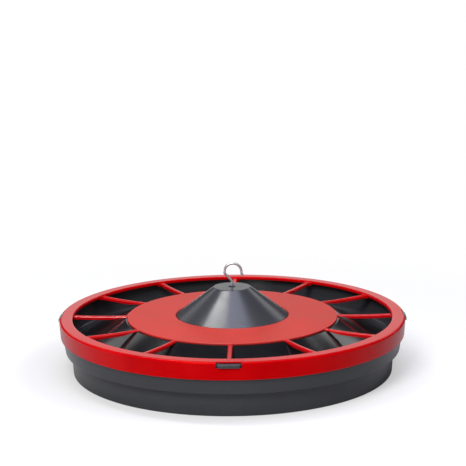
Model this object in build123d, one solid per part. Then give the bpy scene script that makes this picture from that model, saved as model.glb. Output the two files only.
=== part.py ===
from build123d import *
from math import atan, cos, degrees, hypot, radians, tan
import os

# Poultry feeder: a shallow round pan with a hollow cone in the middle, and a ring with spokes
# snapped over its rim. Millimetres, +Z up. The origin is on the floor, on the pan's axis.

# Grille: ring, spokes and disc in one moulding
ring_outer_radius = 250.0
ring_width = 19.5
ring_top_height = 79.0
ring_edge_radius = 3.5
ring_inner_edge_radius = 2.2
skirt_depth = 24.8
skirt_lean = 1.8
grille_wall = 2.5
lip_depth = 4.4
disc_radius = 152.0
disc_hole_radius = 81.7
disc_drop = 2.5
disc_rise = 2.0
disc_edge_radius = 0.9
spoke_count = 12
spoke_width = 7.0
spoke_drop = 1.5
spoke_sag = 1.0
spoke_depth = 5.2
spoke_notch = 2.6
spoke_seat_gap = 0.7
spoke_heel_angle = 9.0
spoke_root = 6.0
pad_width = 13.0
pad_depth = 7.5
pad_thickness = 2.6
pad_proud = 0.6

# Snap catches between the two mouldings
catch_count = 4
catch_width = 28.0
catch_height = 5.5
catch_reach = 1.5
catch_slope = 1.6
catch_edge_radius = 0.5
window_side_gap = 3.0
window_floor_gap = 0.4
window_roof_gap = 1.1

# Pan: one moulding of even wall
pan_wall = 3.0
rim_gap = 0.8
rim_edge_radius = 0.9
wall_lean = 3.2
step_height = 33.0
step_width = 8.4
step_edge_radius = 1.5
foot_lean = 2.1
foot_edge_radius = 1.5
trough_shoulder_width = 9.7
trough_corner_radius = 7.0
cone_top_height = 119.0
cone_top_radius = 26.5
cone_edge_radius = 2.5
collar_gap = 0.8
collar_drop = 0.5
rib_count = 12
rib_thickness = 2.0
rib_height = 9.0
rib_inner_radius = 100.0
gusset_count = 6
gusset_reach = 30.0

# Boss under the cone's top, with the recess that hides the upper nut
recess_radius = 5.0
recess_depth = 8.0
boss_radius = 11.0
boss_floor = 4.0
bolt_hole_gap = 0.25

# Hook of plated wire, with M4 nuts and washers on its threaded shank
wire_diameter = 3.6
thread_diameter = 4.0
thread_gap = 0.05
shank_rise = 8.5
hook_side = -10.6
hook_jog_rise = 20.0
hook_loop_radius = 12.2
hook_loop_rise = 22.0
hook_tip_drop = 2.6
hook_tip_flare = 2.2
hook_tip_length = 3.2
hook_bend_radius = 5.0
hook_jog_radius = 3.0
hook_tip_radius = 2.5
nut_width = 7.0
nut_height = 3.2
nut_chamfer = 0.4
washer_diameter = 9.0
washer_hole_diameter = 4.3
washer_thickness = 0.8
thread_end = 3.2

# Levels and radii that follow from the sizes above
ring_inner_radius = ring_outer_radius - ring_width
plate_underside = ring_top_height - grille_wall
skirt_bottom = ring_top_height - skirt_depth
skirt_bottom_radius = ring_outer_radius - skirt_lean
disc_top_at_edge = ring_top_height - disc_drop
disc_top_at_hole = disc_top_at_edge + disc_rise
disc_slope = disc_rise / (disc_radius - disc_hole_radius)
rim_height = plate_underside


def radial_face(points):
    """Closed outline in the XZ plane: each point is a radius and a height."""
    corners = [(radius, 0, height) for radius, height in points]
    return make_face(Polyline(*corners, close=True))


def rounded(face, corners):
    """The same outline with the corners nearest to the given points rounded."""
    for (radius, height), size in corners:
        vertex = face.vertices().sort_by_distance((radius, 0, height))[0]
        face = fillet(vertex, size)
    return face


def sector(outline, arc_length, at_radius):
    """An outline turned about Z through the angle that gives the arc length, centred on +X."""
    angle = degrees(arc_length / at_radius)
    return Rot(0, 0, -angle / 2) * revolve(outline, Axis.Z, angle)


def around(shape, count):
    """Copies of a shape, evenly turned about Z."""
    return [Rot(0, 0, 360 * i / count) * shape for i in range(count)]


def shifted_corner(before, corner, after, distance):
    """The corner of an outline's parallel line, on the left of the way it runs."""
    def normal(a, b):
        length = hypot(b[0] - a[0], b[1] - a[1])
        return (-(b[1] - a[1]) / length, (b[0] - a[0]) / length)

    first = normal(before, corner)
    second = normal(corner, after)
    scale = distance / (1 + first[0] * second[0] + first[1] * second[1])
    return (
        corner[0] + (first[0] + second[0]) * scale,
        corner[1] + (first[1] + second[1]) * scale,
    )


def underside(points, distance):
    """Inner corners of the line that lies below a surface drawn from the axis outwards."""
    triples = zip(points, points[1:], points[2:])
    return [shifted_corner(a, b, c, -distance) for a, b, c in triples]


def shoulder_height(radius):
    """Height of the pan's shoulder, which the disc lies on."""
    return disc_top_at_edge - grille_wall + (disc_radius - radius) * disc_slope


# Grille
def ring_body():
    inner_wall_radius = ring_inner_radius + grille_wall
    skirt_inner_top = (ring_outer_radius - grille_wall, plate_underside)
    lip_bottom = ring_top_height - lip_depth
    outline = radial_face([
        (ring_inner_radius, lip_bottom),
        (ring_inner_radius, ring_top_height),
        (ring_outer_radius, ring_top_height),
        (skirt_bottom_radius, skirt_bottom),
        (skirt_bottom_radius - grille_wall, skirt_bottom),
        skirt_inner_top,
        (inner_wall_radius, plate_underside),
        (inner_wall_radius, lip_bottom),
    ])
    outline = rounded(outline, [
        ((ring_outer_radius, ring_top_height), ring_edge_radius),
        ((ring_inner_radius, ring_top_height), ring_inner_edge_radius),
        ((skirt_bottom_radius, skirt_bottom), grille_wall / 3),
        (skirt_inner_top, ring_edge_radius - grille_wall),
    ])
    return revolve(outline, Axis.Z, 360)


def disc_body():
    outline = radial_face([
        (disc_hole_radius, disc_top_at_hole - grille_wall),
        (disc_hole_radius, disc_top_at_hole),
        (disc_radius, disc_top_at_edge),
        (disc_radius, disc_top_at_edge - grille_wall),
    ])
    outline = rounded(outline, [
        ((disc_radius, disc_top_at_edge), disc_edge_radius),
        ((disc_hole_radius, disc_top_at_hole), disc_edge_radius),
    ])
    return revolve(outline, Axis.Z, 360)


def spoke():
    """A bar with a round back and a slight sag.

    Its heel rises to clear the pan's shoulder, where it joins the disc. A notch sets its back off
    from the ring, and its lower half runs on into the ring's lip.
    """
    start_radius = disc_radius - spoke_root
    outer_top = ring_top_height - spoke_drop
    reach = ring_inner_radius + pad_thickness / 2
    middle_radius = (start_radius + reach) / 2
    middle_top = (disc_top_at_edge + outer_top) / 2 - spoke_sag
    back = ThreePointArc(
        (start_radius, 0, disc_top_at_edge),
        (middle_radius, 0, middle_top),
        (reach, 0, outer_top),
    )
    half = spoke_width / 2
    start = Plane(back @ 0, x_dir=(0, 1, 0), z_dir=back % 0)
    below = Rectangle(spoke_width, spoke_depth - half, align=(Align.CENTER, Align.MAX))
    section = Pos(0, -half) * (Circle(half) + below)
    bar = sweep(start * section, path=back)
    notch_radius = ring_inner_radius - spoke_notch
    notch_height = outer_top - spoke_notch
    heel = shoulder_height(disc_radius) + spoke_seat_gap
    clear_below = middle_top - spoke_depth - spoke_sag
    heel_run = (heel - clear_below) / tan(radians(spoke_heel_angle))
    side = radial_face([
        (start_radius, ring_top_height),
        (start_radius, shoulder_height(start_radius) + grille_wall / 2),
        (disc_radius, heel),
        (disc_radius + heel_run, clear_below),
        (reach, clear_below),
        (reach, notch_height),
        (notch_radius + spoke_notch / 2, notch_height),
        (notch_radius, ring_top_height),
    ])
    side = rounded(side, [((notch_radius + spoke_notch / 2, notch_height), spoke_notch / 4)])
    return bar & extrude(side, spoke_width, both=True)


def spoke_pad():
    """The thicker and deeper stretch of the ring's inner lip that each spoke runs into."""
    top = ring_top_height - spoke_drop
    bottom = ring_top_height - pad_depth
    inner = ring_inner_radius - pad_proud
    outer = inner + pad_thickness
    outline = radial_face([(inner, bottom), (inner, top), (outer, top), (outer, bottom)])
    return sector(outline, pad_width, inner)


def catch_window():
    bottom = rim_height - catch_height - window_floor_gap
    top = rim_height + window_roof_gap
    inner = skirt_bottom_radius - 2 * grille_wall
    outer = ring_outer_radius + catch_reach
    outline = radial_face([(inner, bottom), (inner, top), (outer, top), (outer, bottom)])
    return sector(outline, catch_width + 2 * window_side_gap, ring_outer_radius)


def feeding_grille():
    body = ring_body() + disc_body()
    body += around(spoke(), spoke_count)
    body += around(spoke_pad(), spoke_count)
    return body - around(catch_window(), catch_count)


# Pan
wall_top_radius = ring_outer_radius - grille_wall - rim_gap
wall_skirt_radius = skirt_bottom_radius - grille_wall - rim_gap
step_outer_radius = wall_skirt_radius - wall_lean
foot_top_radius = step_outer_radius - step_width
foot_radius = foot_top_radius - foot_lean
collar_radius = disc_hole_radius - collar_gap
collar_top = disc_top_at_hole - collar_drop
recess_floor = cone_top_height - recess_depth
boss_bottom = recess_floor - boss_floor
bolt_hole_radius = thread_diameter / 2 + bolt_hole_gap
trough_bend_radius = disc_radius + trough_shoulder_width
trough_bend_height = shoulder_height(trough_bend_radius)
trough_floor_radius = step_outer_radius - pan_wall
trough_floor_height = step_height + pan_wall
trough_fall = trough_bend_height - trough_floor_height
trough_angle = atan(trough_fall / (trough_floor_radius - trough_bend_radius))
trough_shoulder_radius = trough_shoulder_width / tan((trough_angle - disc_slope) / 2)


def trough_surface():
    """Corners of the pan's upper surface, from the hook's recess out to the wall.

    The shoulder's curve starts at the disc's edge, and the trough ends one wall above the step.
    """
    return [
        (recess_radius, cone_top_height),
        (cone_top_radius, cone_top_height),
        (collar_radius, collar_top),
        (collar_radius, shoulder_height(collar_radius)),
        (trough_bend_radius, trough_bend_height),
        (trough_floor_radius, trough_floor_height),
    ]


def pan_body():
    top = trough_surface()
    recess_edge, cone_edge, collar_edge, collar_foot, bend, corner = top
    rim_inner = (wall_top_radius - pan_wall, rim_height)
    rim_outer = (wall_top_radius, rim_height)
    skirt_point = (wall_skirt_radius, skirt_bottom)
    inner_skirt_point = (wall_skirt_radius - pan_wall, skirt_bottom)
    step_edge = (step_outer_radius, step_height)
    step_root = (foot_top_radius, step_height)
    foot_outer = (foot_radius, 0)
    foot_inner = (foot_radius - pan_wall, 0)
    below = underside([recess_edge, cone_edge, collar_edge, bend, corner], pan_wall)
    cone_below, collar_below, bend_below = below
    foot_slope = foot_lean / step_height
    foot_meet_radius = foot_top_radius - pan_wall
    meet_height = bend_below[1] - (foot_meet_radius - bend_below[0]) * tan(trough_angle)
    foot_meet = (foot_meet_radius + (meet_height - step_height) * foot_slope, meet_height)
    outline = radial_face([
        *top,
        inner_skirt_point,
        rim_inner,
        rim_outer,
        skirt_point,
        step_edge,
        step_root,
        foot_outer,
        foot_inner,
        foot_meet,
        bend_below,
        collar_below,
        cone_below,
        (boss_radius, cone_below[1]),
        (boss_radius, boss_bottom),
        (bolt_hole_radius, boss_bottom),
        (bolt_hole_radius, recess_floor),
        (recess_radius, recess_floor),
    ])
    outline = rounded(outline, [
        (cone_edge, cone_edge_radius),
        (collar_edge, collar_drop),
        (bend, trough_shoulder_radius),
        (corner, trough_corner_radius),
        (rim_inner, rim_edge_radius),
        (rim_outer, rim_edge_radius),
        (step_edge, step_edge_radius),
        (step_root, step_edge_radius / 2),
        (foot_outer, foot_edge_radius),
        (cone_below, cone_edge_radius / 2),
    ])
    return revolve(outline, Axis.Z, 360)


def rib():
    """A low stiffening rib under the sloping trough, from the shoulder out to the foot."""
    surface = trough_surface()
    bend, corner = surface[4], surface[5]
    middle = underside([surface[3], bend, corner], pan_wall / 2)[0]
    inner_height = shoulder_height(rib_inner_radius) - pan_wall / 2
    outer_radius = foot_top_radius - pan_wall / 2
    outer_height = middle[1] - (outer_radius - middle[0]) * tan(trough_angle)
    points = [
        (rib_inner_radius, inner_height),
        middle,
        (outer_radius, outer_height),
        (outer_radius, outer_height - rib_height),
        (middle[0], middle[1] - rib_height),
        (rib_inner_radius + rib_height, inner_height - rib_height),
    ]
    return extrude(radial_face(points), rib_thickness / 2, both=True)


def gusset():
    """A web between the boss and the inside of the cone."""
    surface = trough_surface()
    slope = (cone_top_height - collar_top) / (collar_radius - cone_top_radius)
    reach = boss_radius + gusset_reach
    middle = underside(surface[:3], pan_wall / 2)[0]
    reach_height = middle[1] - (reach - middle[0]) * slope
    points = [
        (boss_radius - pan_wall / 2, middle[1]),
        middle,
        (reach, reach_height),
        (boss_radius - pan_wall / 2, boss_bottom + pan_wall / 2),
    ]
    return extrude(radial_face(points), rib_thickness / 2, both=True)


def catch():
    """A wedge on the rim: its slope lets the ring's skirt ride over it."""
    root = wall_skirt_radius - pan_wall / 2
    tip = ring_outer_radius + catch_reach
    bottom = rim_height - catch_height
    nose = (tip, rim_height - catch_slope)
    outline = radial_face([
        (root, bottom),
        (root, rim_height),
        (tip - catch_slope, rim_height),
        nose,
        (tip, bottom),
    ])
    outline = rounded(outline, [(nose, catch_edge_radius), ((tip, bottom), catch_edge_radius)])
    return sector(outline, catch_width, ring_outer_radius)


def feed_pan():
    body = pan_body()
    body += around(rib(), rib_count)
    body += around(gusset(), gusset_count)
    body += around(catch(), catch_count)
    return body


# Hook and its fasteners
def hook_bolt():
    """Wire hook: a straight shank, a jog to one side and an open loop over the axis."""
    thread_bottom = boss_bottom - washer_thickness - nut_height - thread_end
    thread_top = recess_floor + washer_thickness + nut_height + thread_diameter / 2
    loop_x = hook_side + hook_loop_radius
    loop_z = cone_top_height + hook_loop_rise
    end_x = loop_x + hook_loop_radius
    rise = FilletPolyline(
        (0, 0, thread_top - thread_diameter / 2),
        (0, 0, cone_top_height + shank_rise),
        (hook_side, 0, cone_top_height + hook_jog_rise),
        (hook_side, 0, loop_z),
        radius=[hook_bend_radius, hook_jog_radius],
    )
    loop = ThreePointArc(
        (hook_side, 0, loop_z), (loop_x, 0, loop_z + hook_loop_radius), (end_x, 0, loop_z)
    )
    tip = FilletPolyline(
        (end_x, 0, loop_z),
        (end_x, 0, loop_z - hook_tip_drop),
        (end_x + hook_tip_flare, 0, loop_z - hook_tip_drop - hook_tip_length),
        radius=hook_tip_radius,
    )
    path = Wire([*rise.edges(), loop, *tip.edges()])
    start = Plane(path @ 0, z_dir=path % 0)
    wire = sweep(start * Circle(wire_diameter / 2), path=path)
    thread = Pos(0, 0, thread_bottom) * Cylinder(
        thread_diameter / 2,
        thread_top - thread_bottom,
        align=(Align.CENTER, Align.CENTER, Align.MIN),
    )
    return wire + thread


def nut(bottom):
    """Hexagon nut with the corners of both ends turned off."""
    align = (Align.CENTER, Align.CENTER, Align.MIN)
    blank = extrude(RegularPolygon(nut_width / 2, 6, major_radius=False), nut_height)
    corner_radius = nut_width / 2 / cos(radians(30))
    turned = Cylinder(corner_radius, nut_height, align=align)
    turned = chamfer(turned.edges().filter_by(GeomType.CIRCLE), nut_chamfer)
    bore = Cylinder(thread_diameter / 2 + thread_gap, nut_height, align=align)
    return Pos(0, 0, bottom) * ((blank & turned) - bore)


def washer(bottom):
    align = (Align.CENTER, Align.CENTER, Align.MIN)
    plate = Cylinder(washer_diameter / 2, washer_thickness, align=align)
    return Pos(0, 0, bottom) * (
        plate - Cylinder(washer_hole_diameter / 2, washer_thickness, align=align)
    )


lower_washer_height = boss_bottom - washer_thickness
parts = {
    "feed_pan": feed_pan(),
    "feeding_grille": feeding_grille(),
    "hook_bolt": hook_bolt(),
    "upper_washer": washer(recess_floor),
    "upper_nut": nut(recess_floor + washer_thickness),
    "lower_washer": washer(lower_washer_height),
    "lower_nut": nut(lower_washer_height - nut_height),
}

os.makedirs("parts", exist_ok=True)
for name, shape in parts.items():
    export_step(shape, f"parts/{name}.step")
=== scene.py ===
from math import atan2, ceil, cos, pi, radians, sin, tan

import bpy
import numpy as np
from mathutils import Matrix, Vector


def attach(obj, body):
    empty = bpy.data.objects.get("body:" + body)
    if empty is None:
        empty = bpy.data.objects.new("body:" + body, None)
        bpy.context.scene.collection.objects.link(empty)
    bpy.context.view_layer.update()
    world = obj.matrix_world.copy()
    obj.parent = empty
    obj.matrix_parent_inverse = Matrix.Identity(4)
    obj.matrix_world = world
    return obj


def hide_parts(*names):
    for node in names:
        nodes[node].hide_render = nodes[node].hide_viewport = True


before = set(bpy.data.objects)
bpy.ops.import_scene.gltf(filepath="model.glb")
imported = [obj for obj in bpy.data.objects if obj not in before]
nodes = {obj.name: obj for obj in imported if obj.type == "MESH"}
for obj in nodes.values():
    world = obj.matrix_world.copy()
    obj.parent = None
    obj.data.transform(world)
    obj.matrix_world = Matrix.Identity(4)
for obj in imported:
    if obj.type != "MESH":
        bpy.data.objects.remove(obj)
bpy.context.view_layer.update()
print("frame loaded:", len(nodes), "nodes")

mm = 0.001
noiseSpread = (0.3, 0.7)     # nearly all of a noise's values lie between these


def hexToLinear(text):
    # sRGB hex to linear light: a channel c becomes ((c + 0.055) / 1.055) ^ 2.4, a dark one c / 12.92
    srgb = np.array([int(text[i:i + 2], 16) for i in (0, 2, 4)]) / 255
    linear = np.where(srgb <= 0.04045, srgb / 12.92, ((srgb + 0.055) / 1.055) ** 2.4)
    return (*linear, 1.0)


def addNode(tree, kind, settings=None, links=None):
    # one node: settings go to its properties or its sockets, links join sockets to other outputs
    node = tree.nodes.new(kind)
    for name, value in (settings or {}).items():
        if isinstance(name, str) and hasattr(node, name):
            setattr(node, name, value)
        else:
            node.inputs[name].default_value = value
    for name, source in (links or {}).items():
        tree.links.new(source, node.inputs[name])
    return node


def fillRamp(ramp, stops):
    # stops: position to grey or hex colour, in rising order
    elements = ramp.color_ramp.elements
    while len(elements) > 1:
        elements.remove(elements[-1])
    for i, (place, value) in enumerate(stops.items()):
        stop = elements[0] if i == 0 else elements.new(place)
        stop.position = place
        stop.color = hexToLinear(value) if isinstance(value, str) else (value, value, value, 1.0)


# Black pan: injection-moulded polypropylene with carbon black, satin from a stoned, polished mould.
# It gives the eye a charcoal with long soft streaks of light, faint turning marks round the axis, a
# few hair scuffs from stacking, a trough polished by the feed and a painted bluish sheen on cone and
# wall.
blackSet = {
    "base": "121215",
    "bloom": "1a1a1d",       # paler haze where the skin cooled slower
    "roughness": (0.21, 0.30),
    "cloud": 70,             # mm, width of the hazy patches
    "bloomFrom": (0.35, 0.7),       # noise values between which the bloom sets in
    "grain": 0.8,            # mm, coarser than the real 0.1 so that it shows
    "bump": 0.006,           # mm
    "turning": 1.1,          # mm between the mould's turning marks, coarser than the real ones
    "scuff": (3.0, 60.0),    # mm, spacing and length of the hair scuffs
    "scuffTurn": (0.3, 0.2, 0.7),                      # radians, the way the scuffs run
    "scuffStops": {0.60: 0.0, 0.68: 1.0, 0.72: 0.2},   # noise value to scuff
    "scuffShare": 0.35,      # share of the roughness range that a scuff adds
    "paintedSheen": "c8ccd8",        # painted sheen, a pale bluish light on the cone
    "paintedSheenShare": 0.072,
    "reach": 260.0,          # mm, radius that the next row's places are shares of
    # painted sheen on the cone, none in the trough, which stays darker as painted shade, and less on
    # the outer wall
    "paintedSheenWhere": {0.0: 1.0, 0.308: 1.0, 0.323: 0.0, 0.865: 0.0, 0.885: 0.75},
    "polished": 0.62,        # share of its roughness that the feed leaves the trough
}


def blackPolypropylene():
    s = blackSet
    material = bpy.data.materials.new("blackPolypropyleneSatin")
    material.use_nodes = True
    tree = material.node_tree
    shader = tree.nodes["Principled BSDF"]
    place = addNode(tree, "ShaderNodeTexCoord").outputs["Object"]
    cloud = addNode(tree, "ShaderNodeTexNoise", {"Scale": 1 / (s["cloud"] * mm), "Detail": 5.0,
                                                 "Roughness": 0.6}, {"Vector": place})
    grain = addNode(tree, "ShaderNodeTexNoise", {"Scale": 1 / (s["grain"] * mm), "Detail": 2.0},
                    {"Vector": place})
    # turning marks: rings round the axis, from the distance to it
    rings = addNode(tree, "ShaderNodeTexWave", {
        "wave_type": "RINGS", "rings_direction": "Z", "Scale": 0.05 / (s["turning"] * mm) * 2 * pi,
        "Distortion": 0.4, "Detail": 2.0, "Detail Scale": 0.3}, {"Vector": place})
    spacing, length = s["scuff"]
    stretched = addNode(tree, "ShaderNodeMapping", {
        "Rotation": s["scuffTurn"],
        "Scale": (1 / (spacing * mm), 1 / (length * mm), 1 / (spacing * mm))}, {"Vector": place})
    scuffs = addNode(tree, "ShaderNodeTexNoise", {"Scale": 1.0, "Detail": 6.0, "Roughness": 0.75},
                     {"Vector": stretched.outputs[0]})
    scuffMask = addNode(tree, "ShaderNodeValToRGB", None, {"Fac": scuffs.outputs["Fac"]})
    fillRamp(scuffMask, s["scuffStops"])
    tint = addNode(tree, "ShaderNodeValToRGB", None, {"Fac": cloud.outputs["Fac"]})
    fillRamp(tint, dict(zip(s["bloomFrom"], (s["base"], s["bloom"]))))
    low, high = s["roughness"]
    rough = addNode(tree, "ShaderNodeMapRange", {
        "From Min": noiseSpread[0], "From Max": noiseSpread[1], "To Min": low,
        "To Max": high}, {"Value": cloud.outputs["Fac"]})
    worn = addNode(tree, "ShaderNodeMath", {"operation": "MULTIPLY_ADD",
                                            1: (high - low) * s["scuffShare"]},
                   {0: scuffMask.outputs["Color"], 2: rough.outputs["Result"]})
    relief = addNode(tree, "ShaderNodeMath", {"operation": "MULTIPLY_ADD", 1: 0.5},
                     {0: rings.outputs["Fac"], 2: grain.outputs["Fac"]})
    bump = addNode(tree, "ShaderNodeBump", {"Strength": 1.0, "Distance": s["bump"] * mm},
                   {"Height": relief.outputs[0]})
    flat = addNode(tree, "ShaderNodeVectorMath", {"operation": "MULTIPLY", 1: (1, 1, 0)},
                   {0: place})
    radius = addNode(tree, "ShaderNodeVectorMath", {"operation": "LENGTH"}, {0: flat.outputs[0]})
    spot = addNode(tree, "ShaderNodeMath", {"operation": "MULTIPLY", 1: 1 / (s["reach"] * mm)},
                      {0: radius.outputs["Value"]})
    # painted sheen: a paler colour set by the distance from the axis, on cone and wall, none in the
    # trough
    paintedSheenMask = addNode(tree, "ShaderNodeValToRGB", None, {"Fac": spot.outputs[0]})
    fillRamp(paintedSheenMask, s["paintedSheenWhere"])
    share = addNode(tree, "ShaderNodeMath", {"operation": "MULTIPLY", 1: s["paintedSheenShare"]},
                    {0: paintedSheenMask.outputs["Color"]})
    colour = addNode(tree, "ShaderNodeMix", {"data_type": "RGBA", 7: hexToLinear(s["paintedSheen"])},
                     {"Factor": share.outputs[0], 6: tint.outputs["Color"]})
    polish = addNode(tree, "ShaderNodeMapRange", {"To Min": s["polished"]},
                     {"Value": paintedSheenMask.outputs["Color"]})
    finish = addNode(tree, "ShaderNodeMath", {"operation": "MULTIPLY"},
                     {0: worn.outputs[0], 1: polish.outputs["Result"]})
    tree.links.new(colour.outputs[2], shader.inputs["Base Color"])
    tree.links.new(finish.outputs[0], shader.inputs["Roughness"])
    tree.links.new(bump.outputs["Normal"], shader.inputs["Normal"])
    shader.inputs["IOR"].default_value = 1.49
    return material


# Red grille: injection-moulded polypropylene, glossy from a polished mould.
# It gives the eye a deep saturated red with a coral glare on the flats, on the disc partly painted
# into its colour, a faint orange peel and slow changes of depth where the melt flowed.
redSet = {
    "base": "cc0209",
    "flow": "d2080e",
    "deep": "c20007",
    "glare": "ff3020",       # what the ring reflects to a straight look; grazing light stays white
    "clearGlare": "ffffff",  # the same on spokes and disc
    "clearWithin": (229.0, 227.5),  # mm from the axis
    "roughness": (0.17, 0.23),
    "satin": 0.34,           # roughness that the disc's etched mould adds
    "paintedGlare": "e2d0b0",        # painted glare, the pale coral sheen of the disc's top mixed into its colour
    "paintedGlareShare": 0.080,
    "satinFrom": (153, 151), # mm from the axis, where the etched face and its painted glare start
    "cloud": 55,             # mm
    "peel": 2.2,             # mm, orange peel
    "bump": 0.004,           # mm
    "speck": 0.9,            # mm, pigment grain, coarser than the real one
    "speckShare": 0.25,      # its part in the changes of depth
    "depthStops": (0.42, 0.62, 0.82),   # noise values of the deep, plain and flow-marked colour
}


def redPolypropylene():
    s = redSet
    material = bpy.data.materials.new("redPolypropyleneGloss")
    material.use_nodes = True
    tree = material.node_tree
    shader = tree.nodes["Principled BSDF"]
    place = addNode(tree, "ShaderNodeTexCoord").outputs["Object"]
    cloud = addNode(tree, "ShaderNodeTexNoise", {"Scale": 1 / (s["cloud"] * mm), "Detail": 4.0},
                    {"Vector": place})
    speck = addNode(tree, "ShaderNodeTexNoise", {"Scale": 1 / (s["speck"] * mm), "Detail": 1.0},
                    {"Vector": place})
    peel = addNode(tree, "ShaderNodeTexNoise", {"Scale": 1 / (s["peel"] * mm), "Detail": 1.0},
                   {"Vector": place})
    mixed = addNode(tree, "ShaderNodeMath", {"operation": "MULTIPLY_ADD", 1: s["speckShare"]},
                    {0: speck.outputs["Fac"], 2: cloud.outputs["Fac"]})
    tint = addNode(tree, "ShaderNodeValToRGB", None, {"Fac": mixed.outputs[0]})
    fillRamp(tint, dict(zip(s["depthStops"], (s["deep"], s["base"], s["flow"]))))
    low, high = s["roughness"]
    rough = addNode(tree, "ShaderNodeMapRange", {
        "From Min": noiseSpread[0], "From Max": noiseSpread[1], "To Min": low,
        "To Max": high}, {"Value": cloud.outputs["Fac"]})
    flat = addNode(tree, "ShaderNodeVectorMath", {"operation": "MULTIPLY", 1: (1, 1, 0)},
                   {0: place})
    radius = addNode(tree, "ShaderNodeVectorMath", {"operation": "LENGTH"}, {0: flat.outputs[0]})
    outer, inner = s["satinFrom"]
    etched = addNode(tree, "ShaderNodeMapRange", {"From Min": outer * mm, "From Max": inner * mm},
                     {"Value": radius.outputs["Value"]})
    finish = addNode(tree, "ShaderNodeMath", {"operation": "MULTIPLY_ADD", 1: s["satin"]},
                     {0: etched.outputs["Result"], 2: rough.outputs["Result"]})
    # painted glare: the disc's colour turns paler by this share, standing in for its sheen
    share = addNode(tree, "ShaderNodeMath", {"operation": "MULTIPLY", 1: s["paintedGlareShare"]},
                    {0: etched.outputs["Result"]})
    colour = addNode(tree, "ShaderNodeMix", {"data_type": "RGBA", 7: hexToLinear(s["paintedGlare"])},
                     {"Factor": share.outputs[0], 6: tint.outputs["Color"]})
    start, full = s["clearWithin"]
    clear = addNode(tree, "ShaderNodeMapRange", {"From Min": start * mm, "From Max": full * mm},
                    {"Value": radius.outputs["Value"]})
    glare = addNode(tree, "ShaderNodeMix", {
        "data_type": "RGBA", 6: hexToLinear(s["glare"]), 7: hexToLinear(s["clearGlare"])},
        {"Factor": clear.outputs["Result"]})
    bump = addNode(tree, "ShaderNodeBump", {"Strength": 1.0, "Distance": s["bump"] * mm},
                   {"Height": peel.outputs["Fac"]})
    tree.links.new(colour.outputs[2], shader.inputs["Base Color"])
    tree.links.new(finish.outputs[0], shader.inputs["Roughness"])
    tree.links.new(bump.outputs["Normal"], shader.inputs["Normal"])
    shader.inputs["IOR"].default_value = 1.49
    tree.links.new(glare.outputs[2], shader.inputs["Specular Tint"])
    return material


# Hook and fasteners: drawn steel wire, bright zinc plated. Mirror-like with a cool grey body and a
# little unevenness from drawing and plating.
zincSet = {
    "base": "eceef0",
    "dull": "c8cbd0",
    "roughness": (0.28, 0.42),
    "streak": 1.4,           # mm
    "dullFrom": (0.35, 0.75),       # noise values between which the plating turns dull
    "bump": 0.02,            # mm
    "bumpStrength": 0.3,
}


def brightZinc():
    s = zincSet
    material = bpy.data.materials.new("brightZincPlatedSteel")
    material.use_nodes = True
    tree = material.node_tree
    shader = tree.nodes["Principled BSDF"]
    place = addNode(tree, "ShaderNodeTexCoord").outputs["Object"]
    streak = addNode(tree, "ShaderNodeTexNoise", {"Scale": 1 / (s["streak"] * mm), "Detail": 3.0},
                     {"Vector": place})
    tint = addNode(tree, "ShaderNodeValToRGB", None, {"Fac": streak.outputs["Fac"]})
    fillRamp(tint, dict(zip(s["dullFrom"], (s["base"], s["dull"]))))
    low, high = s["roughness"]
    rough = addNode(tree, "ShaderNodeMapRange", {
        "From Min": noiseSpread[0], "From Max": noiseSpread[1], "To Min": low,
        "To Max": high}, {"Value": streak.outputs["Fac"]})
    bump = addNode(tree, "ShaderNodeBump", {
        "Strength": s["bumpStrength"], "Distance": s["bump"] * mm},
        {"Height": streak.outputs["Fac"]})
    tree.links.new(tint.outputs["Color"], shader.inputs["Base Color"])
    tree.links.new(rough.outputs["Result"], shader.inputs["Roughness"])
    tree.links.new(bump.outputs["Normal"], shader.inputs["Normal"])
    shader.inputs["Metallic"].default_value = 1.0
    return material


finishes = {"black": blackPolypropylene(), "red": redPolypropylene(), "zinc": brightZinc()}
nodeFinish = {
    "hook_bolt": "zinc",
    "upper_nut": "zinc",
    "upper_washer": "zinc",
    "lower_washer": "zinc",
    "lower_nut": "zinc",
}
for name, finish in nodeFinish.items():
    node = nodes[name]
    node.data.materials.clear()
    node.data.materials.append(finishes[finish])
print("finishes given to the frame's nodes")


def smoothStep(x):
    # 0 below 0, 1 above 1, and 3 x^2 - 2 x^3 between
    x = np.clip(x, 0, 1)
    return x * x * (3 - 2 * x)


def roundedOutline(corners, inset=0.25, arcStep=11.0, smallStep=32.0, smallSize=0.6):
    # Closed outline from corners (radius, height, rounding). A rounding is an arc that touches both
    # of its sides, tangent length = rounding x tan(half the turn). Each side keeps two points just
    # inside its ends, so that its shading stays flat. Small roundings have coarser arcs. The outline
    # runs anticlockwise with the radius to the right.
    points = np.array([corner[:2] for corner in corners], float)
    ahead = np.roll(points, -1, axis=0) - points
    ahead /= np.linalg.norm(ahead, axis=1)[:, None]
    behind = np.roll(ahead, 1, axis=0)
    pieces = []
    for point, into, out, corner in zip(points, behind, ahead, corners):
        turn = atan2(into[0] * out[1] - into[1] * out[0], into @ out)
        size = corner[2]
        start = point - into * size * tan(abs(turn) / 2)
        centre = start + np.sign(turn) * size * np.array([-into[1], into[0]])
        steps = max(2, ceil(abs(turn) / radians(arcStep if size > smallSize else smallStep)))
        swing = np.linspace(0, turn, steps + 1)
        arm = start - centre
        arc = centre + np.stack([arm[0] * np.cos(swing) - arm[1] * np.sin(swing),
                                 arm[0] * np.sin(swing) + arm[1] * np.cos(swing)], axis=1)
        pieces += [arc[:1] - into * inset, arc, arc[-1:] + out * inset]
    return np.vstack(pieces)


def gridFaces(rows, columns, wrapRows, wrapColumns=True):
    # quads between neighbouring rows and columns of a grid, facing row direction x column direction
    i, j = np.meshgrid(np.arange(rows if wrapRows else rows - 1),
                       np.arange(columns if wrapColumns else columns - 1), indexing="ij")
    i, j = i.ravel(), j.ravel()
    iNext, jNext = (i + 1) % rows, (j + 1) % columns
    return np.stack([i * columns + j, iNext * columns + j, iNext * columns + jNext,
                     i * columns + jNext], axis=1)


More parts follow.
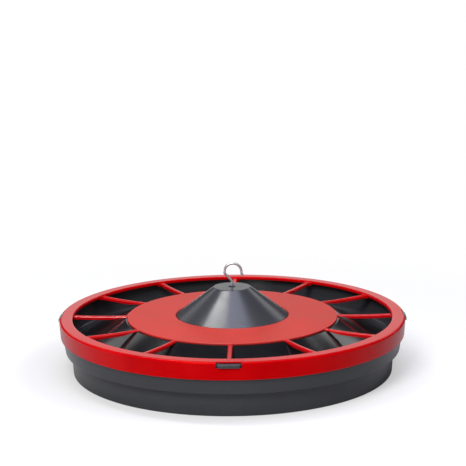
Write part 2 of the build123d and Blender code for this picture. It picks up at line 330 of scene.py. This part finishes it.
def turnedGrid(outline, angles):
    # outline (radius, height), or one outline for each angle, carried round Z:
    # x = radius cos(angle), y = radius sin(angle), z = height
    outline = np.broadcast_to(outline, (len(angles), *np.shape(outline)[-2:]))
    radius, height = outline[..., 0], outline[..., 1]
    return np.stack([radius * np.cos(angles)[:, None], radius * np.sin(angles)[:, None], height],
                    axis=2)


def shellMesh(grid, closedRows, flip=False):
    # vertices and faces of a grid; an open one gets a flat cap with its own vertices on each end
    rows, columns = grid.shape[:2]
    vertices = [grid.reshape(-1, 3)]
    faces = gridFaces(rows, columns, closedRows)
    faces = list(map(tuple, (faces[:, ::-1] if flip else faces).tolist()))
    if not closedRows:
        count = rows * columns
        for end, backwards in ((0, flip), (-1, not flip)):
            cap = np.arange(columns) + count
            faces.append(tuple((cap[::-1] if backwards else cap).tolist()))
            vertices.append(grid[end])
            count += columns
    return np.vstack(vertices), faces


def joinedObject(name, shells, material, sharpAngle=38.0):
    # one object from several closed shells given in mm
    mesh = bpy.data.meshes.new(name)
    count, vertices, faces = 0, [], []
    for points, polygons in shells:
        vertices.append(points)
        faces += [tuple(i + count for i in polygon) for polygon in polygons]
        count += len(points)
    mesh.from_pydata((np.vstack(vertices) * mm).tolist(), [], faces)
    mesh.shade_smooth()
    mesh.set_sharp_from_angle(angle=radians(sharpAngle))
    mesh.materials.append(material)
    piece = bpy.data.objects.new(name, mesh)
    bpy.context.scene.collection.objects.link(piece)
    return piece


# Grille: one moulding, in mm. Its surfaces interpenetrate where they join.
grilleSet = {
    "ringOuter": 250.0, "ringInner": 230.5, "ringTop": 79.0, "outerEdge": 3.5, "innerEdge": 2.2,
    "wall": 2.5, "skirtBottom": 54.2, "skirtLean": 1.8, "lipBottom": 74.6, "smallEdge": 0.3,
    "windowBottom": 70.6, "windowTop": 77.0, "windowInner": 243.2, "windowEdge": 246.6,
    "windowWidth": 34.0, "windows": 4,
    "discOuter": 152.0, "discHole": 81.7, "discEdgeTop": 76.5, "discRise": 2.0, "discEdge": 0.9,
    "spokes": 12, "spokeWidth": 7.0, "spokeDepth": 5.2, "spokeSag": 1.0, "spokeRoot": 6.0,
    "crown": 0.75,           # 1 is a half circle, less is flatter
    "spokeOuterTop": 77.5, "notch": 2.6, "seatGap": 0.7, "heelAngle": 9.0, "flare": 1.3,
    "padWidth": 13.0, "padBottom": 71.5, "padProud": 0.6, "padReach": 1.3,
    "padBlend": 0.35,        # mm, half the width over which a pad rises from the lip
    "padRamp": 0.6,          # mm, half the width that gets closer sections for it
    "sharp": 0.01,           # mm, rounding of a corner that is as good as sharp
    "witness": 15.0,         # mm from a catch's middle to the faint lines of the mould's inserts
    "witnessDepth": 0.10, "witnessWidth": 0.55,
    "wave": 0.05,            # mm, how far the flats are out of true
    "angleStep": 0.8,        # degrees between the ring's sections
}


def ringSections(s):
    # angles of the ring's sections: even steps, and closer ones at the pads' and insert lines' edges
    even = np.arange(0, 360, s["angleStep"])
    spokeAngles = np.arange(s["spokes"]) * 360 / s["spokes"]
    edge = np.degrees(s["padWidth"] / 2 / s["ringInner"])
    ramp = np.degrees(np.linspace(-s["padRamp"], s["padRamp"], 7) / s["ringInner"])
    near = (spokeAngles[:, None, None] + np.array([-edge, edge])[None, :, None] + ramp).ravel()
    windowAngles = np.arange(s["windows"]) * 360 / s["windows"]
    line = np.degrees(s["witness"] / s["ringOuter"])
    across = np.degrees(np.linspace(-1.5, 1.5, 13) * s["witnessWidth"] / s["ringOuter"])
    lines = (windowAngles[:, None, None] + np.array([-line, line])[None, :, None] + across).ravel()
    return np.radians(np.unique(np.round(np.concatenate([even, near % 360, lines % 360]), 5)))


def ringDetail(outline, angles, s):
    # the lip grows into a pad at each spoke, a fine line shows each insert's edge, and the flats
    # wave a little: pad = smooth step of the arc, groove = depth exp(-(arc / half width)^2)
    radius = np.repeat(outline[None, :, 0], len(angles), axis=0)
    height = np.repeat(outline[None, :, 1], len(angles), axis=0)
    turn = 2 * pi / s["spokes"]
    arc = np.abs((angles + turn / 2) % turn - turn / 2) * s["ringInner"]
    blend = s["padBlend"]
    pad = smoothStep((s["padWidth"] / 2 + blend - arc) / (2 * blend))[:, None]
    inLip = radius < s["ringInner"] + s["wall"] + 0.1
    root = s["ringTop"] - s["wall"]
    stretch = (root - s["padBottom"]) / (root - s["lipBottom"]) - 1
    low = inLip & (height < root)
    proud = s["padProud"] * pad * smoothStep((s["spokeOuterTop"] - height) / 0.8)
    radius = radius - np.where(inLip & (radius < s["ringInner"] + s["padReach"]), proud, 0)
    height = height - np.where(low, (root - height) * stretch * pad, 0)
    quarter = 2 * pi / s["windows"]
    side = np.abs((angles + quarter / 2) % quarter - quarter / 2) * s["ringOuter"] - s["witness"]
    groove = np.exp(-(side / (s["witnessWidth"] / 2)) ** 2)[:, None]
    onTop = smoothStep((radius - s["ringInner"] - 3.0) / 2) * (height > s["ringTop"] - 0.9)
    wave = s["wave"] * (np.sin(5 * angles + 0.4) + 0.6 * np.sin(12 * angles + 1.1))[:, None] / 2
    outside = (radius > s["ringOuter"] - s["wall"] - 0.6) & (height < root)
    radius = radius - np.where(outside, s["wave"] * 0.5 + wave * 0.6, 0)
    height = height - onTop * (groove * s["witnessDepth"] + s["wave"] * 0.5 - wave * 0.4)
    return np.stack([radius, height], axis=2)


def ringShells(s):
    # the ring's section turned between the windows, and smaller ones over and under each window
    small, wall, top, sharp = s["smallEdge"], s["wall"], s["ringTop"], s["sharp"]
    root = top - wall
    bottomRadius = s["ringOuter"] - s["skirtLean"]
    innerRadius = s["ringInner"] + wall

    def skirtOuter(height):
        return s["ringOuter"] - s["skirtLean"] * (top - height) / (top - s["skirtBottom"])

    def skirtInner(height):
        share = (root - height) / (root - s["skirtBottom"])
        return s["ringOuter"] - wall - (s["ringOuter"] - bottomRadius) * share

    whole = roundedOutline([
        (s["ringInner"], s["lipBottom"], small),
        (innerRadius, s["lipBottom"], small),
        (innerRadius, root, small),
        (s["ringOuter"] - wall, root, s["outerEdge"] - wall),
        (bottomRadius - wall, s["skirtBottom"], small),
        (bottomRadius, s["skirtBottom"], wall / 3),
        (s["ringOuter"], top, s["outerEdge"]),
        (s["ringInner"], top, s["innerEdge"]),
    ])
    # over a window the section lacks its skirt and its outer rounding
    inner, cut, level = s["windowInner"], s["windowEdge"], s["windowTop"]
    gone = (whole[:, 0] > inner) & ((whole[:, 1] < root + sharp) | (whole[:, 0] > cut - 0.4))
    face = roundedOutline([
        (inner - 1, root, sharp),
        (inner, root, sharp),
        (inner, level, 0.05),
        (cut, level, 0.2),
        (cut, top, 0.5),
        (inner - 1, top, sharp),
    ], inset=0.12)
    over = np.insert(whole[~gone], np.argmax(gone), face[face[:, 0] > inner - 0.5], axis=0)
    under = roundedOutline([
        (skirtInner(s["windowBottom"]), s["windowBottom"], small),
        (bottomRadius - wall, s["skirtBottom"], small),
        (bottomRadius, s["skirtBottom"], wall / 3),
        (skirtOuter(s["windowBottom"]), s["windowBottom"], small),
    ])
    sections = ringSections(s)
    quarter = 2 * pi / s["windows"]
    half = s["windowWidth"] / 2 / s["ringOuter"]
    shells = []
    for i in range(s["windows"]):
        middle = i * quarter
        fromAngle, toAngle = middle + half, middle + quarter - half
        inside = (sections > fromAngle + 1e-4) & (sections < toAngle - 1e-4)
        angles = np.concatenate([[fromAngle], sections[inside], [toAngle]])
        shells.append(shellMesh(turnedGrid(ringDetail(whole, angles, s), angles), False))
        near = np.abs((sections - middle + pi) % (2 * pi) - pi) < half - 1e-4
        offsets = np.sort((sections[near] - middle + pi) % (2 * pi) - pi)
        angles = middle + np.concatenate([[-half], offsets, [half]])
        shells.append(shellMesh(turnedGrid(ringDetail(over, angles, s), angles), False))
        shells.append(shellMesh(turnedGrid(under, angles), False))
    return shells


def discShell(s):
    # the disc's section turned right round: radius along the slope, height a little out of true
    small = s["smallEdge"]
    holeTop = s["discEdgeTop"] + s["discRise"]
    outline = roundedOutline([
        (s["discHole"], holeTop - s["wall"], small),
        (s["discOuter"], s["discEdgeTop"] - s["wall"], small),
        (s["discOuter"], s["discEdgeTop"], s["discEdge"]),
        (s["discHole"], holeTop, s["discEdge"]),
    ])
    share = np.linspace(0.05, 0.95, 9)[:, None]
    margin = 2.0
    drop = margin * s["discRise"] / (s["discOuter"] - s["discHole"])
    outerEnd = np.array([[s["discOuter"] - margin, s["discEdgeTop"] + drop]])
    innerEnd = np.array([[s["discHole"] + margin, holeTop - drop]])
    between = outerEnd + (innerEnd - outerEnd) * share
    corner = np.argmax((outline[:, 1] > s["discEdgeTop"]) & (outline[:, 0] < s["discOuter"] - 1.0))
    outline = np.insert(outline, corner + 1, between, axis=0)
    angles = np.radians(np.arange(0, 360, 1.0))
    radius = np.repeat(outline[None, :, 0], len(angles), axis=0)
    height = np.repeat(outline[None, :, 1], len(angles), axis=0)
    middle = np.sin(pi * np.clip((radius - s["discHole"]) / (s["discOuter"] - s["discHole"]), 0, 1))
    swell = np.sin(3 * angles + 0.7)[:, None] + 0.5 * np.sin(12 * angles)[:, None]
    surface = height > s["discEdgeTop"] - 0.2
    height = height - surface * middle * s["wave"] * (1 - 0.6 * swell)
    return shellMesh(turnedGrid(np.stack([radius, height], axis=2), angles), True)


def spokeShells(s):
    # a round-backed bar carried out along a sagging line: height = straight line - 4 sag t (1 - t)
    start = s["discOuter"] - s["spokeRoot"]
    end = s["ringInner"] + s["padReach"]
    notchFrom = s["ringInner"] - s["notch"]
    notchFloor = s["spokeOuterTop"] - s["notch"]
    radius = np.unique(np.concatenate([
        np.linspace(start, end, 28),
        s["discOuter"] + s["flare"] * np.linspace(0, 1, 7) ** 2,
        np.linspace(notchFrom, notchFrom + s["notch"] / 2 + 0.4, 14),
        s["ringInner"] - s["padProud"] - s["flare"] * np.linspace(0, 1, 7) ** 2,
    ]))
    share = (radius - start) / (end - start)
    back = (s["discEdgeTop"] + (s["spokeOuterTop"] - s["discEdgeTop"]) * share
            - 4 * s["spokeSag"] * share * (1 - share))
    half = s["spokeWidth"] / 2
    # the back's section is a flattened arch: half width x (cos^crown, sin^crown)
    swing = np.linspace(0, pi, 15)
    archAcross = half * np.sign(np.cos(swing)) * np.abs(np.cos(swing)) ** s["crown"]
    archUp = half * np.abs(np.sin(swing)) ** s["crown"] - half
    flat = np.linspace(half - 0.5, 0.5 - half, 6)
    foot = -s["spokeDepth"]
    flank, corner, nib = -half - 0.3, foot + 0.35, 0.08
    across = np.concatenate([archAcross, [-half, -half, nib - half], -flat,
                             [half - nib, half, half]])
    up = np.concatenate([archUp, [flank, corner, foot + nib], np.full(len(flat), foot),
                         [foot + nib, corner, flank]])
    # the heel lifts clear of the pan's shoulder, and the notch sets the back off from the ring
    heel = s["discEdgeTop"] - s["wall"] + s["seatGap"]
    clear = (s["discEdgeTop"] + s["spokeOuterTop"]) / 2 - 2 * s["spokeSag"] - s["spokeDepth"]
    lift = (radius - s["discOuter"]) * tan(radians(s["heelAngle"]))
    floor = np.clip(heel - lift, clear, heel + 0.2)
    drop = s["ringTop"] - notchFloor
    roof = s["ringTop"] - smoothStep((radius - notchFrom) / (s["notch"] / 2)) * drop
    nearDisc = np.clip(1 - (radius - s["discOuter"]) / s["flare"], 0, 1)
    nearRing = np.clip(1 - (s["ringInner"] - s["padProud"] - radius) / s["flare"], 0, 1)
    # a rounding in plan: 1 - sqrt(1 - d^2) times its radius
    spread = s["flare"] * (2 - np.sqrt(1 - nearDisc ** 2) - np.sqrt(1 - nearRing ** 2))
    y = across[None, :] * (1 + spread / half)[:, None]
    z = np.clip(back[:, None] + up[None, :], floor[:, None], roof[:, None])
    x = np.repeat(radius[:, None], len(across), axis=1)
    shells = []
    for angle in np.arange(s["spokes"]) * 2 * pi / s["spokes"]:
        grid = np.stack([x * cos(angle) - y * sin(angle),
                         x * sin(angle) + y * cos(angle), z], axis=2)
        shells.append(shellMesh(grid, False, flip=True))
    return shells


shells = ringShells(grilleSet) + [discShell(grilleSet)] + spokeShells(grilleSet)
grille = joinedObject("grilleMoulding", shells, finishes["red"])
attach(grille, "root")
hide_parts("feeding_grille")
print("grille built:", len(grille.data.polygons), "faces")


# Pan: one moulding, in mm. Its wall is a closed section; catches, ribs and webs run into it.
panSet = {
    "footOuter": 231.2, "footInner": 228.2, "footTop": 233.3, "step": 33.0, "stepOuter": 241.7,
    "skirtBottom": 54.2, "wallSkirt": 244.9, "wallTop": 246.7, "rim": 76.5, "wall": 3.0,
    "troughFloor": (238.7, 36.0), "troughCorner": 7.0,
    "bend": (154.0, 73.94), "bendRounding": 5.0, "bendBelow": (152.6, 70.95),
    "footMeet": (230.5, 36.7),
    "collar": 80.9, "collarFoot": 76.02, "collarTop": 78.0, "collarBelow": (79.8, 75.05),
    "coneTop": 119.0, "coneTopRadius": 26.5, "coneEdge": 2.5, "coneBelow": 25.5,
    "recess": 5.0, "recessFloor": 111.0, "hole": 2.25, "boss": 11.0, "bossBottom": 107.0,
    "catchRoot": 243.4, "catchTip": 251.5, "catchBottom": 71.0, "catchSlope": 1.6, "catchEdge": 0.5,
    "catchWidth": 28.0, "catchAt": 250.0, "catches": 4,
    "ribs": 12, "ribThickness": 2.0, "ribHeight": 9.0, "ribInner": 100.0,
    "webs": 6, "webReach": 30.0,
    "smallEdge": 0.3,
    "collarFall": 0.053,     # fall of the underside from collar to bend
    "overlap": 1.0,          # mm that a rib runs into the wall above it
    "webInCone": 2.2, "webInTop": 2.0, "webInBoss": 1.5,   # mm that a web runs into what it joins
    "wave": 0.06,            # mm, how far the wall is out of true
    "angleStep": 0.9,        # degrees between sections
}


def panWall(s):
    # the section turned right round; its outside leans in and out a little:
    # radius - wave (1 + sines) / 2
    small, wall = s["smallEdge"], s["wall"]
    floorRadius, floorHeight = s["troughFloor"]
    outline = roundedOutline([
        (s["footInner"], 0, small),
        (s["footOuter"], 0, 1.5),
        (s["footTop"], s["step"], 0.75),
        (s["stepOuter"], s["step"], 1.5),
        (s["wallSkirt"], s["skirtBottom"], 6),
        (s["wallTop"], s["rim"], 0.9),
        (s["wallTop"] - wall, s["rim"], 0.9),
        (s["wallSkirt"] - wall, s["skirtBottom"], 6),
        (floorRadius, floorHeight, s["troughCorner"]),
        (*s["bend"], s["bendRounding"]),
        (s["collar"], s["collarFoot"], 0.2),
        (s["collar"], s["collarTop"], 0.5),
        (s["coneTopRadius"], s["coneTop"], s["coneEdge"]),
        (s["recess"], s["coneTop"], 0.6),
        (s["recess"], s["recessFloor"], 0.2),
        (s["hole"], s["recessFloor"], 0.1),
        (s["hole"], s["bossBottom"], 0.1),
        (s["boss"], s["bossBottom"], small),
        (s["boss"], s["coneTop"] - wall, small),
        (s["coneBelow"], s["coneTop"] - wall, 1.2),
        (*s["collarBelow"], 1.0),
        (*s["bendBelow"], 2.0),
        (*s["footMeet"], 0.6),
    ])
    angles = np.radians(np.arange(0, 360, s["angleStep"]))
    radius = np.repeat(outline[None, :, 0], len(angles), axis=0)
    height = np.repeat(outline[None, :, 1], len(angles), axis=0)
    outside = (radius > s["footOuter"] - 0.2) & (height < s["rim"] - 1)
    swell = np.sin(4 * angles + 0.3) + 0.5 * np.sin(12 * angles + 0.9)
    radius = radius - outside * s["wave"] * (1 + swell[:, None] / 1.5) / 2
    return shellMesh(turnedGrid(np.stack([radius, height], axis=2), angles), True)


def panCatches(s):
    # each catch is its outline turned through catchWidth / catchAt, centred on a spoke
    tip, slope, edge = s["catchTip"], s["catchSlope"], s["catchEdge"]
    outline = roundedOutline([
        (s["catchRoot"], s["catchBottom"], 0.1),
        (tip, s["catchBottom"], edge),
        (tip, s["rim"] - slope, edge),
        (tip - slope, s["rim"], 0.15),
        (s["catchRoot"], s["rim"], 0.1),
    ], inset=0.15)
    half = s["catchWidth"] / 2 / s["catchAt"]
    swing = np.linspace(-half, half, 12)
    return [shellMesh(turnedGrid(outline, 2 * pi * i / s["catches"] + swing), False)
            for i in range(s["catches"])]


def flatWebs(outline, thickness, count):
    # a flat web: its outline, half the thickness to either side of the XZ plane, turned about Z
    outline = np.array(outline, float)
    side = np.stack([outline[:, 0], np.zeros(len(outline)), outline[:, 1]], axis=1)
    offset = np.array([0, thickness / 2, 0])
    grid = np.stack([side - offset, side + offset])
    shells = []
    for angle in np.arange(count) * 2 * pi / count:
        turn = np.array([[cos(angle), sin(angle), 0], [-sin(angle), cos(angle), 0], [0, 0, 1]])
        shells.append(shellMesh(grid @ turn, False))
    return shells


def panWebs(s):
    bendRadius, bendHeight = s["bendBelow"]
    over = s["overlap"]
    footRadius = s["footTop"] - s["wall"] / 2
    slope = (bendHeight - s["footMeet"][1]) / (s["footMeet"][0] - bendRadius)
    footHeight = bendHeight + over - (footRadius - bendRadius) * slope
    fall = s["collarFall"] * (s["ribInner"] - s["collarBelow"][0])
    innerHeight = s["collarBelow"][1] - fall + over
    deep = s["ribHeight"] + over
    ribs = flatWebs([
        (s["ribInner"], innerHeight),
        (s["ribInner"] + deep, innerHeight - deep),
        (bendRadius, bendHeight - deep + over),
        (footRadius, footHeight - deep),
        (footRadius, footHeight),
        (bendRadius, bendHeight + over),
    ], s["ribThickness"], s["ribs"])
    reach = s["boss"] + s["webReach"]
    coneSlope = (s["coneTop"] - s["collarTop"]) / (s["collar"] - s["coneTopRadius"])
    reachHeight = s["coneTop"] - s["webInCone"] - coneSlope * (reach - s["coneTopRadius"])
    bossSide = s["boss"] - s["webInBoss"]
    webs = flatWebs([
        (bossSide, s["bossBottom"] + s["webInBoss"]),
        (reach, reachHeight),
        (s["coneBelow"], s["coneTop"] - s["webInTop"]),
        (bossSide, s["coneTop"] - s["webInTop"]),
    ], s["ribThickness"], s["webs"])
    return ribs + webs


pan = joinedObject("panMoulding", [panWall(panSet)] + panCatches(panSet) + panWebs(panSet),
                   finishes["black"])
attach(pan, "root")
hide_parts("feed_pan")
print("pan built:", len(pan.data.polygons), "faces")


# Floor and backdrop: white in the picture, plain white paper to the lights. Far from the feeder the
# paper fades into an even white, which only the camera and reflections see.
# Near the foot the camera sees less of that lift: painted shade round the foot, set off to the left
# so that it paints light on the right.
floorSet = {
    "size": 14.0,            # m
    "colour": "bcbcbc",      # what the paper gives back to the feeder
    "liftWithPaintedShade": (0.38, 0.52),    # what the camera sees on top of it, by the foot and further out; less by the foot, a painted shade
    "paintedShadeFrom": (0.24, 0.31),       # m, where the painted shade by the foot fades out
    "paintedShadeCentre": (-0.045, 0, 0),   # m, off to the left, which paints light on the side away from the lamps
    "fade": (0.40, 0.80),    # m from the axis
    "paintedReflectionLevel": (1.35, 0.45, 0.8),  # painted light: the white in reflections, brighter on the left than the right, and how far out in m
}


def paleFloor():
    s = floorSet
    half = s["size"] / 2
    mesh = bpy.data.meshes.new("paleFloor")
    corners = [(-half, -half, 0), (half, -half, 0), (half, half, 0), (-half, half, 0)]
    mesh.from_pydata(corners, [], [(0, 1, 2, 3)])
    floor = bpy.data.objects.new("paleFloor", mesh)
    bpy.context.scene.collection.objects.link(floor)
    material = bpy.data.materials.new("studioPaper")
    material.use_nodes = True
    tree = material.node_tree
    tree.nodes.remove(tree.nodes["Principled BSDF"])
    place = addNode(tree, "ShaderNodeTexCoord").outputs["Object"]
    distance = addNode(tree, "ShaderNodeVectorMath", {"operation": "LENGTH"}, {0: place})
    near, far = s["fade"]
    away = addNode(tree, "ShaderNodeMapRange", {"From Min": near, "From Max": far,
                                                "interpolation_type": "SMOOTHSTEP"},
                   {"Value": distance.outputs["Value"]})
    paper = addNode(tree, "ShaderNodeBsdfDiffuse", {"Color": hexToLinear(s["colour"])})
    path = addNode(tree, "ShaderNodeLightPath")
    seen = addNode(tree, "ShaderNodeMath", {"operation": "MAXIMUM"},
                   {0: path.outputs["Is Camera Ray"], 1: path.outputs["Is Glossy Ray"]})
    # painted shade: the camera's lift is smaller near the foot, measured from a centre set to the
    # left
    apart = addNode(tree, "ShaderNodeVectorMath", {"operation": "DISTANCE", 1: s["paintedShadeCentre"]},
                    {0: place})
    liftWithPaintedShade = addNode(tree, "ShaderNodeMapRange", {
        "From Min": s["paintedShadeFrom"][0], "From Max": s["paintedShadeFrom"][1], "To Min": s["liftWithPaintedShade"][0],
        "To Max": s["liftWithPaintedShade"][1], "interpolation_type": "SMOOTHSTEP"},
        {"Value": apart.outputs["Value"]})
    nearLift = addNode(tree, "ShaderNodeMath", {"operation": "MULTIPLY"},
                       {0: path.outputs["Is Camera Ray"], 1: liftWithPaintedShade.outputs["Result"]})
    lift = addNode(tree, "ShaderNodeEmission", None, {"Strength": nearLift.outputs[0]})
    lifted = addNode(tree, "ShaderNodeAddShader", None, {0: paper.outputs[0], 1: lift.outputs[0]})
    side = addNode(tree, "ShaderNodeSeparateXYZ", None, {0: place})
    # painted light: what reflections see of the floor falls from left to right
    left, right, reach = s["paintedReflectionLevel"]
    paintedReflectionLevel = addNode(tree, "ShaderNodeMapRange", {"From Min": -reach, "From Max": reach,
                                                    "To Min": left, "To Max": right},
                       {"Value": side.outputs["X"]})
    strength = addNode(tree, "ShaderNodeMix", {"data_type": "FLOAT", "A": 1.0},
                       {"Factor": path.outputs["Is Glossy Ray"], "B": paintedReflectionLevel.outputs["Result"]})
    white = addNode(tree, "ShaderNodeEmission", None, {"Strength": strength.outputs["Result"]})
    share = addNode(tree, "ShaderNodeMath", {"operation": "MULTIPLY"},
                    {0: away.outputs["Result"], 1: seen.outputs[0]})
    both = addNode(tree, "ShaderNodeMixShader", None,
                   {0: share.outputs[0], 1: lifted.outputs[0], 2: white.outputs[0]})
    tree.links.new(both.outputs[0], tree.nodes["Material Output"].inputs["Surface"])
    mesh.materials.append(material)


# Room: white paper behind the feeder, dark above and beside it, and a pale ceiling overhead and in
# front that fades down to darker walls
worldSet = {
    "paper": 0.90, "aboveBack": 0.03, "ceiling": 0.44, "room": 0.10,
    "edge": (0.10, 0.28),    # direction's Y where the ceiling ends
    "rise": (0.28, 0.38),    # direction's Z where the paper ends
    "sides": (0.16, 0.25),   # direction's X, either way, where the paper ends
    "walls": (0.12, 0.62),   # direction's Z between which the room rises to the ceiling's level
}


def studioWorld():
    s = worldSet
    world = bpy.data.worlds.new("studioWorld")
    bpy.context.scene.world = world
    world.use_nodes = True
    tree = world.node_tree
    tree.nodes.clear()
    direction = addNode(tree, "ShaderNodeTexCoord").outputs["Generated"]
    parts = addNode(tree, "ShaderNodeSeparateXYZ", None, {0: direction})
    behind = addNode(tree, "ShaderNodeMapRange", {
        "From Min": s["edge"][0], "From Max": s["edge"][1], "interpolation_type": "SMOOTHSTEP"},
        {"Value": parts.outputs["Y"]})
    up = addNode(tree, "ShaderNodeMapRange", {
        "From Min": s["rise"][0], "From Max": s["rise"][1], "To Min": s["paper"],
        "To Max": s["aboveBack"], "interpolation_type": "SMOOTHSTEP"},
        {"Value": parts.outputs["Z"]})
    sideways = addNode(tree, "ShaderNodeMath", {"operation": "ABSOLUTE"}, {0: parts.outputs["X"]})
    beside = addNode(tree, "ShaderNodeMapRange", {
        "From Min": s["sides"][0], "From Max": s["sides"][1], "interpolation_type": "SMOOTHSTEP"},
        {"Value": sideways.outputs[0]})
    back = addNode(tree, "ShaderNodeMix", {"data_type": "FLOAT", "B": s["aboveBack"]},
                   {"Factor": beside.outputs["Result"], "A": up.outputs["Result"]})
    room = addNode(tree, "ShaderNodeMapRange", {
        "From Min": s["walls"][0], "From Max": s["walls"][1], "To Min": s["room"],
        "To Max": s["ceiling"], "interpolation_type": "SMOOTHSTEP"}, {"Value": parts.outputs["Z"]})
    level = addNode(tree, "ShaderNodeMix", {"data_type": "FLOAT"}, {
        "Factor": behind.outputs["Result"], "A": room.outputs["Result"],
        "B": back.outputs["Result"]})
    ray = addNode(tree, "ShaderNodeLightPath").outputs["Is Camera Ray"]
    strength = addNode(tree, "ShaderNodeMix", {"data_type": "FLOAT", "B": 1.0},
                       {"Factor": ray, "A": level.outputs["Result"]})
    sky = addNode(tree, "ShaderNodeBackground", {"Color": hexToLinear("ffffff")},
                  {"Strength": strength.outputs["Result"]})
    output = addNode(tree, "ShaderNodeOutputWorld", None, {"Surface": sky.outputs[0]})
    output.is_active_output = True


# Lamps: a strip and a cool panel overhead, two rows of ceiling tubes behind, a soft box by the
# camera and two weak panels at the sides
lampSet = {
    # name: centre, point that it faces, width and length in m, turn in degrees, watts, colour
    "overheadStrip": ((-0.63, 0.22, 2.0), (0, 0, 0.1), 0.17, 0.8, 0.0, 10.2, "ffffff"),
    "leftTube": ((-1.15, 2.7, 2.0), (-1.15, 2.7, 0), 0.05, 3.0, 10.5, 1.3, "ffffff"),
    "rightTube": ((1.25, 3.0, 2.0), (1.25, 3.0, 0), 0.05, 2.8, -10.5, 1.3, "ffffff"),
    "topCool": ((0.20, -0.19, 2.1), (0.20, -0.19, 0), 0.95, 1.1, 0.0, 13.5, "dadfff"),
    "frontKey": ((-0.53, -1.63, 1.59), (0, 0, 0.05), 0.8, 0.8, 0.0, 32.0, "ffffff"),
    "leftPanel": ((-1.07, 1.48, 1.10), (0, 0, 0.1), 0.5, 0.5, 0.0, 0.8, "ffffff"),
    "rightPanel": ((1.03, 1.50, 1.12), (0, 0, 0.1), 0.5, 0.5, 0.0, 1.2, "ffffff"),
}


def softLamps():
    for name, (place, aim, width, length, turn, watts, colour) in lampSet.items():
        lamp = bpy.data.lights.new(name, "AREA")
        lamp.shape = "RECTANGLE"
        lamp.size = width
        lamp.size_y = length
        lamp.energy = watts
        lamp.color = hexToLinear(colour)[:3]
        holder = bpy.data.objects.new(name, lamp)
        bpy.context.scene.collection.objects.link(holder)
        holder.location = place
        facing = (Vector(place) - Vector(aim)).to_track_quat("Z", "Y").to_matrix()
        holder.rotation_euler = (facing @ Matrix.Rotation(radians(turn), 3, "Z")).to_euler()
        holder.visible_camera = False


# Camera: worked out by fitting a pinhole to the rims in the photograph
cameraSet = {
    "focal": 114.015,        # mm on a 36 mm sensor, which is 466 pixels wide
    "distance": 2.1448,      # m from the aim point
    "aimHeight": 0.079,      # m, the ring's top
    "elevation": 14.66,      # degrees from the aim point to the camera
    "azimuth": 1.2,          # degrees towards +X from the feeder's front
    "raise": 3.112,          # degrees that the lens points above the aim point
    "pan": 0.062,            # degrees that it points to the right of it
    "roll": 0.634,           # degrees, clockwise as the photographer sees it
}


def studioCamera():
    s = cameraSet
    azimuth, elevation = radians(s["azimuth"]), radians(s["elevation"])
    away = Vector((cos(elevation) * sin(azimuth), -cos(elevation) * cos(azimuth), sin(elevation)))
    lens = bpy.data.cameras.new("studioCamera")
    lens.sensor_width = 36.0
    lens.lens = s["focal"]
    camera = bpy.data.objects.new("studioCamera", lens)
    bpy.context.scene.collection.objects.link(camera)
    camera.location = Vector((0, 0, s["aimHeight"])) + away * s["distance"]
    aimed = (-away).to_track_quat("-Z", "Y").to_matrix()
    pitch = Matrix.Rotation(radians(s["raise"]), 3, "X")
    yaw = Matrix.Rotation(-radians(s["pan"]), 3, "Y")
    roll = Matrix.Rotation(-radians(s["roll"]), 3, "Z")
    camera.rotation_euler = (aimed @ yaw @ pitch @ roll).to_euler()
    bpy.context.scene.camera = camera


paleFloor()
studioWorld()
softLamps()
studioCamera()
bpy.context.scene.view_settings.view_transform = "Standard"
print("floor, lamps and camera placed")
